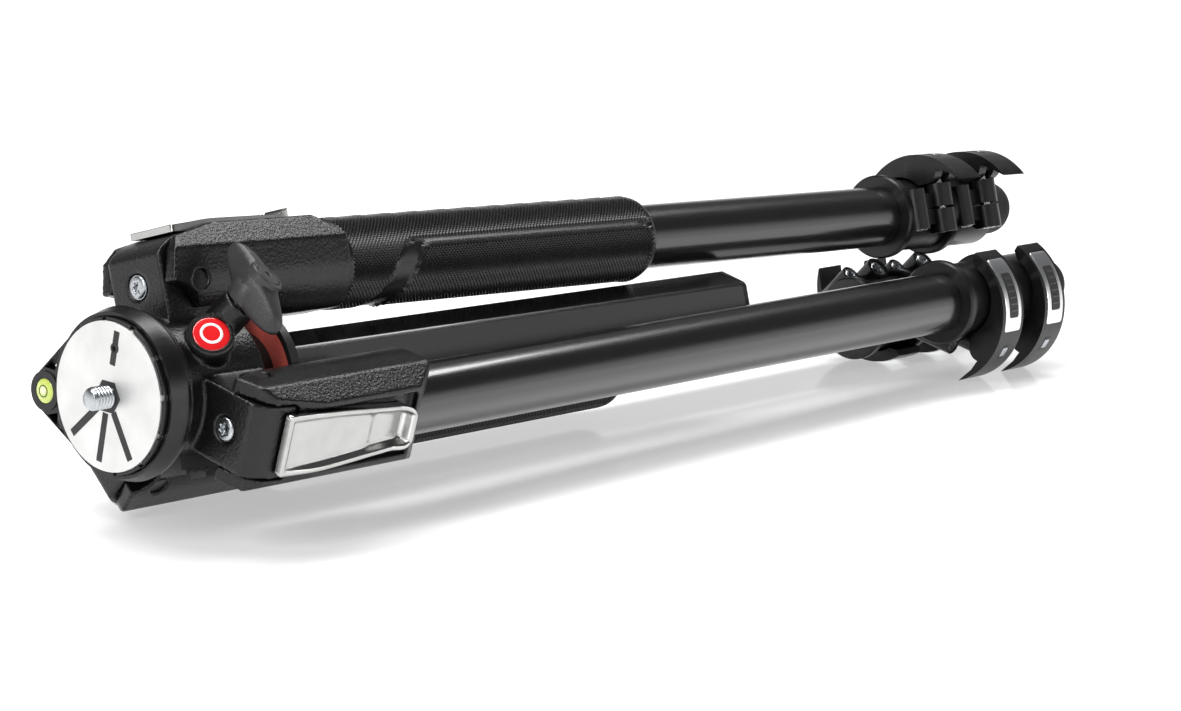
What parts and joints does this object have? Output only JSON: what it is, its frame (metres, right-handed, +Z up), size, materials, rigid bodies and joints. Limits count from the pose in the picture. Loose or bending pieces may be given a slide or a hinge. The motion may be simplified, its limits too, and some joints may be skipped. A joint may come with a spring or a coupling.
{
  "type": "photographic tripod",
  "caption": "Folded three-section photographic tripod lying down: hinged telescopic legs with cam lever locks, sliding centre column, head plate with threaded stud.",
  "frame": {"origin": "centre of the head plate's outer face, at the root of the head stud", "axes": "+X along the centre column towards the feet; +Z up with the tripod lying folded; -Y is the side with the bare leg"},
  "size_m": [0.6249, 0.1247, 0.1234],
  "materials": {
    "brushed_plate": "machined, satin",
    "zinc_steel": "bright zinc",
    "polished_lever": "polished die casting",
    "red_plastic": "gloss",
    "red_flange": "satin",
    "vial_liquid": "clear",
    "grip_rubber": "knurled matt rubber",
    "foot_rubber": "matt rubber",
    "anodised_tube": "black anodised, satin gloss",
    "grey_plastic": "matt, fine grain",
    "black_plastic": "matt moulded",
    "black_casting": "fine textured black paint"
  },
  "bodies": {
    "crown": {"crown_casting": "black_casting", "column_sleeve": "black_plastic", "stop_flange": "red_flange", "shoulder_bolts": "zinc_steel", "hinge_pins": "zinc_steel", "socket_cap": "red_plastic", "accessory_clip": "grey_plastic"},
    "column": {"column_tube": "anodised_tube", "head_plate": "brushed_plate", "plate_set_screw": "zinc_steel", "head_stud": "zinc_steel", "plate_seat": "black_plastic", "column_plug": "black_plastic"},
    "release_button": {"column_button": "red_plastic"},
    "level": {"level_ring": "black_plastic", "level_vial": "vial_liquid"},
    "knob": {"lock_knob": "grey_plastic", "knob_stud": "zinc_steel"},
    "top_leg": {"top_yoke": "black_casting", "top_upper_tube": "anodised_tube", "top_grip": "grip_rubber", "top_upper_collar": "black_plastic", "top_upper_bolts": "zinc_steel"},
    "top_angle_lever": {"top_angle_lever": "polished_lever"},
    "top_upper_lever": {"top_upper_lever": "black_plastic"},
    "top_middle": {"top_middle_tube": "anodised_tube", "top_tube_bush": "black_plastic", "top_lower_collar": "black_plastic", "top_lower_bolts": "zinc_steel"},
    "top_lower_lever": {"top_lower_lever": "black_plastic"},
    "top_lower": {"top_lower_tube": "anodised_tube", "top_foot": "foot_rubber"},
    "front_leg": {"front_yoke": "black_casting", "front_upper_tube": "anodised_tube", "front_upper_collar": "black_plastic", "front_upper_bolts": "zinc_steel"},
    "front_angle_lever": {"front_angle_lever": "polished_lever"},
    "front_upper_lever": {"front_upper_lever": "black_plastic"},
    "front_middle": {"front_middle_tube": "anodised_tube", "front_tube_bush": "black_plastic", "front_lower_collar": "black_plastic", "front_lower_bolts": "zinc_steel"},
    "front_lower_lever": {"front_lower_lever": "black_plastic"},
    "front_lower": {"front_lower_tube": "anodised_tube", "front_foot": "foot_rubber"},
    "back_leg": {"back_yoke": "black_casting", "back_upper_tube": "anodised_tube", "back_grip": "grip_rubber", "back_upper_collar": "black_plastic", "back_upper_bolts": "zinc_steel"},
    "back_angle_lever": {"back_angle_lever": "polished_lever"},
    "back_upper_lever": {"back_upper_lever": "black_plastic"},
    "back_middle": {"back_middle_tube": "anodised_tube", "back_tube_bush": "black_plastic", "back_lower_collar": "black_plastic", "back_lower_bolts": "zinc_steel"},
    "back_lower_lever": {"back_lower_lever": "black_plastic"},
    "back_lower": {"back_lower_tube": "anodised_tube", "back_foot": "foot_rubber"}
  },
  "joints": [
    {"name": "column_slide", "type": "slide", "parent": "crown", "child": "column", "axis": [-1, 0, 0], "range_m": [0, 0.29]},
    {"name": "button_press", "type": "slide", "parent": "column", "child": "release_button", "axis": [-1, 0, 0], "range_m": [0, 0.002], "stiffness_N_per_m": 800},
    {"name": "level_turn", "type": "hinge", "parent": "crown", "child": "level", "pos_m": [0.009, 0, 0], "axis": [1, 0, 0], "continuous": true},
    {"name": "knob_turn", "type": "hinge", "parent": "crown", "child": "knob", "pos_m": [0.044, -0.02638, 0.03768], "axis": [0.342, -0.539, 0.7698], "continuous": true},
    {"name": "top_leg_fold", "type": "hinge", "parent": "crown", "child": "top_leg", "pos_m": [0.04, 0.01256, 0.03799], "axis": [0, -0.9494, 0.314], "range_deg": [0, 88]},
    {"name": "top_angle_set", "type": "hinge", "parent": "top_leg", "child": "top_angle_lever", "pos_m": [0.03848, 0.01943, 0.05876], "axis": [0, -0.9494, 0.314], "range_deg": [0, 20], "stiffness_Nm_per_rad": 0.3, "springref_deg": -11.46},
    {"name": "top_middle_slide", "type": "slide", "parent": "top_leg", "child": "top_middle", "axis": [0.9997, -0.0082, -0.0249], "range_m": [0, 0.37]},
    {"name": "top_lower_slide", "type": "slide", "parent": "top_middle", "child": "top_lower", "axis": [0.9997, -0.0082, -0.0249], "range_m": [0, 0.37]},
    {"name": "top_upper_lock", "type": "hinge", "parent": "top_leg", "child": "top_upper_lever", "pos_m": [0.54233, -0.0025, 0.05296], "axis": [0.9997, -0.0082, -0.0249], "range_deg": [0, 40]},
    {"name": "top_lower_lock", "type": "hinge", "parent": "top_middle", "child": "top_lower_lever", "pos_m": [0.57982, -0.00281, 0.05203], "axis": [0.9997, -0.0082, -0.0249], "range_deg": [0, 40]},
    {"name": "front_leg_fold", "type": "hinge", "parent": "crown", "child": "front_leg", "pos_m": [0.04, -0.03919, -0.00812], "axis": [0, 0.2028, -0.9792], "range_deg": [0, 88]},
    {"name": "front_angle_set", "type": "hinge", "parent": "front_leg", "child": "front_angle_lever", "pos_m": [0.03848, -0.0606, -0.01255], "axis": [0, 0.2028, -0.9792], "range_deg": [0, 20], "stiffness_Nm_per_rad": 0.3, "springref_deg": -11.46},
    {"name": "front_middle_slide", "type": "slide", "parent": "front_leg", "child": "front_middle", "axis": [0.9997, 0.0256, 0.0053], "range_m": [0, 0.37]},
    {"name": "front_lower_slide", "type": "slide", "parent": "front_middle", "child": "front_lower", "axis": [0.9997, 0.0256, 0.0053], "range_m": [0, 0.37]},
    {"name": "front_upper_lock", "type": "hinge", "parent": "front_leg", "child": "front_upper_lever", "pos_m": [0.54233, -0.04461, -0.02864], "axis": [0.9997, 0.0256, 0.0053], "range_deg": [0, 40]},
    {"name": "front_lower_lock", "type": "hinge", "parent": "front_middle", "child": "front_lower_lever", "pos_m": [0.57982, -0.04365, -0.02844], "axis": [0.9997, 0.0256, 0.0053], "range_deg": [0, 40]},
    {"name": "back_leg_fold", "type": "hinge", "parent": "crown", "child": "back_leg", "pos_m": [0.04, 0.02662, -0.02988], "axis": [0, 0.7466, 0.6652], "range_deg": [0, 88]},
    {"name": "back_angle_set", "type": "hinge", "parent": "back_leg", "child": "back_angle_lever", "pos_m": [0.03848, 0.04117, -0.04621], "axis": [0, 0.7466, 0.6652], "range_deg": [0, 20], "stiffness_Nm_per_rad": 0.3, "springref_deg": -11.46},
    {"name": "back_middle_slide", "type": "slide", "parent": "back_leg", "child": "back_middle", "axis": [0.9997, -0.0174, 0.0195], "range_m": [0, 0.37]},
    {"name": "back_lower_slide", "type": "slide", "parent": "back_middle", "child": "back_lower", "axis": [0.9997, -0.0174, 0.0195], "range_m": [0, 0.37]},
    {"name": "back_upper_lock", "type": "hinge", "parent": "back_leg", "child": "back_upper_lever", "pos_m": [0.54233, 0.04711, -0.02431], "axis": [0.9997, -0.0174, 0.0195], "range_deg": [0, 40]},
    {"name": "back_lower_lock", "type": "hinge", "parent": "back_middle", "child": "back_lower_lever", "pos_m": [0.57982, 0.04646, -0.02358], "axis": [0.9997, -0.0174, 0.0195], "range_deg": [0, 40]}
  ]
}
